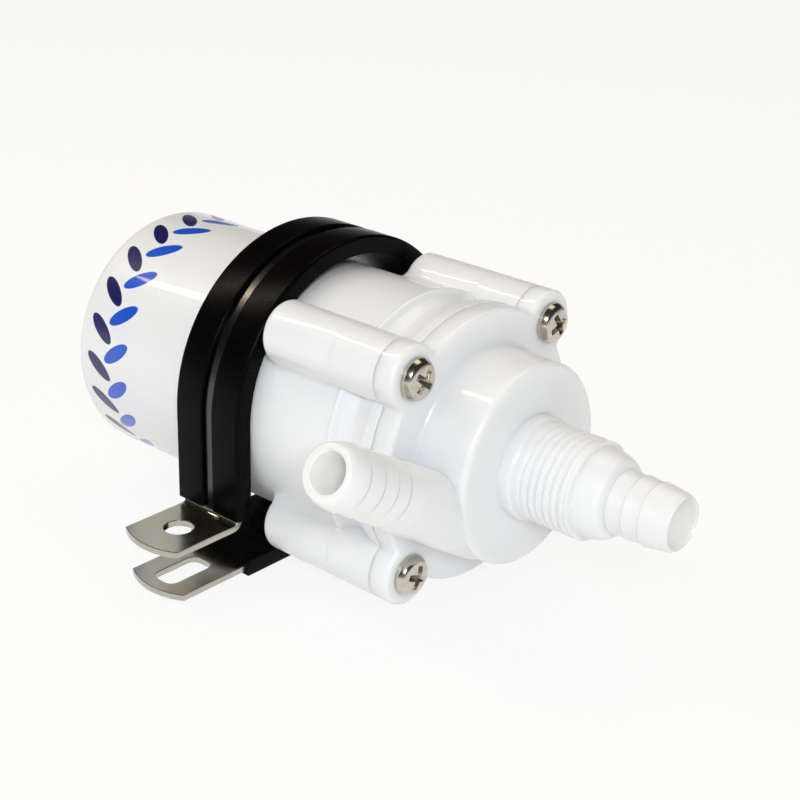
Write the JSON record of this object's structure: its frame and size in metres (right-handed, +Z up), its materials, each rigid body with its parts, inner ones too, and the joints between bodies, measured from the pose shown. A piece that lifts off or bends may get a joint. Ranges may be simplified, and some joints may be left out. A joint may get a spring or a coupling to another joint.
{
  "type": "inline water pump",
  "caption": "Small inline electric water pump: round motor housing, pump head with threaded inlet and side hose outlet, and a rubber-lined P-clip.",
  "frame": {"origin": "on the pump axis, in the front face of the pump chamber", "axes": "+X along the pump axis and out of the inlet, +Z up, the clip's tabs and the side outlet towards -Y"},
  "size_m": [0.1505, 0.0941, 0.0708],
  "materials": {
    "white_plastic": "moulded, glossy",
    "cover_plastic": "moulded, satin",
    "black_rubber": "smooth",
    "seal_rubber": "smooth",
    "zinc_steel": "zinc plated",
    "screw_steel": "nickel plated",
    "can_steel": "zinc plated, drawn",
    "shaft_steel": "ground",
    "lamination_steel": "stacked sheets",
    "magnet_ferrite": "sintered",
    "copper_wire": "enamelled copper",
    "commutator_copper": "turned copper",
    "bearing_bronze": "sintered bronze",
    "brush_carbon": "carbon",
    "cap_plastic": "moulded",
    "impeller_plastic": "moulded",
    "terminal_brass": "tinned"
  },
  "bodies": {
    "clip": {"clip_band": "zinc_steel", "clip_liner": "black_rubber"},
    "pump": {"motor_housing": "white_plastic", "volute_body": "white_plastic", "front_cover": "cover_plastic", "cover_screws": "screw_steel", "cover_seal_ring": "seal_rubber", "housing_seal_ring": "seal_rubber", "shaft_seal": "seal_rubber", "seal_spring": "shaft_steel", "seal_retainer": "zinc_steel", "motor_can": "can_steel", "front_bearing": "bearing_bronze", "rear_bearing": "bearing_bronze", "field_magnets": "magnet_ferrite", "magnet_springs": "can_steel", "carbon_brushes": "brush_carbon", "brush_springs": "can_steel", "motor_end_cap": "cap_plastic", "motor_terminals": "terminal_brass", "motor_damping_ring": "seal_rubber", "cable_grommet": "black_rubber"},
    "rotor": {"motor_shaft": "shaft_steel", "impeller": "impeller_plastic", "thrust_washers": "bearing_bronze", "armature_core": "lamination_steel", "armature_windings": "copper_wire", "commutator": "commutator_copper"}
  },
  "joints": [
    {"name": "pump_turn", "type": "hinge", "parent": "clip", "child": "pump", "pos_m": [0, 0, 0], "axis": [1, 0, 0], "continuous": true},
    {"name": "rotor_spin", "type": "hinge", "parent": "pump", "child": "rotor", "pos_m": [0, 0, 0], "axis": [1, 0, 0], "continuous": true}
  ]
}
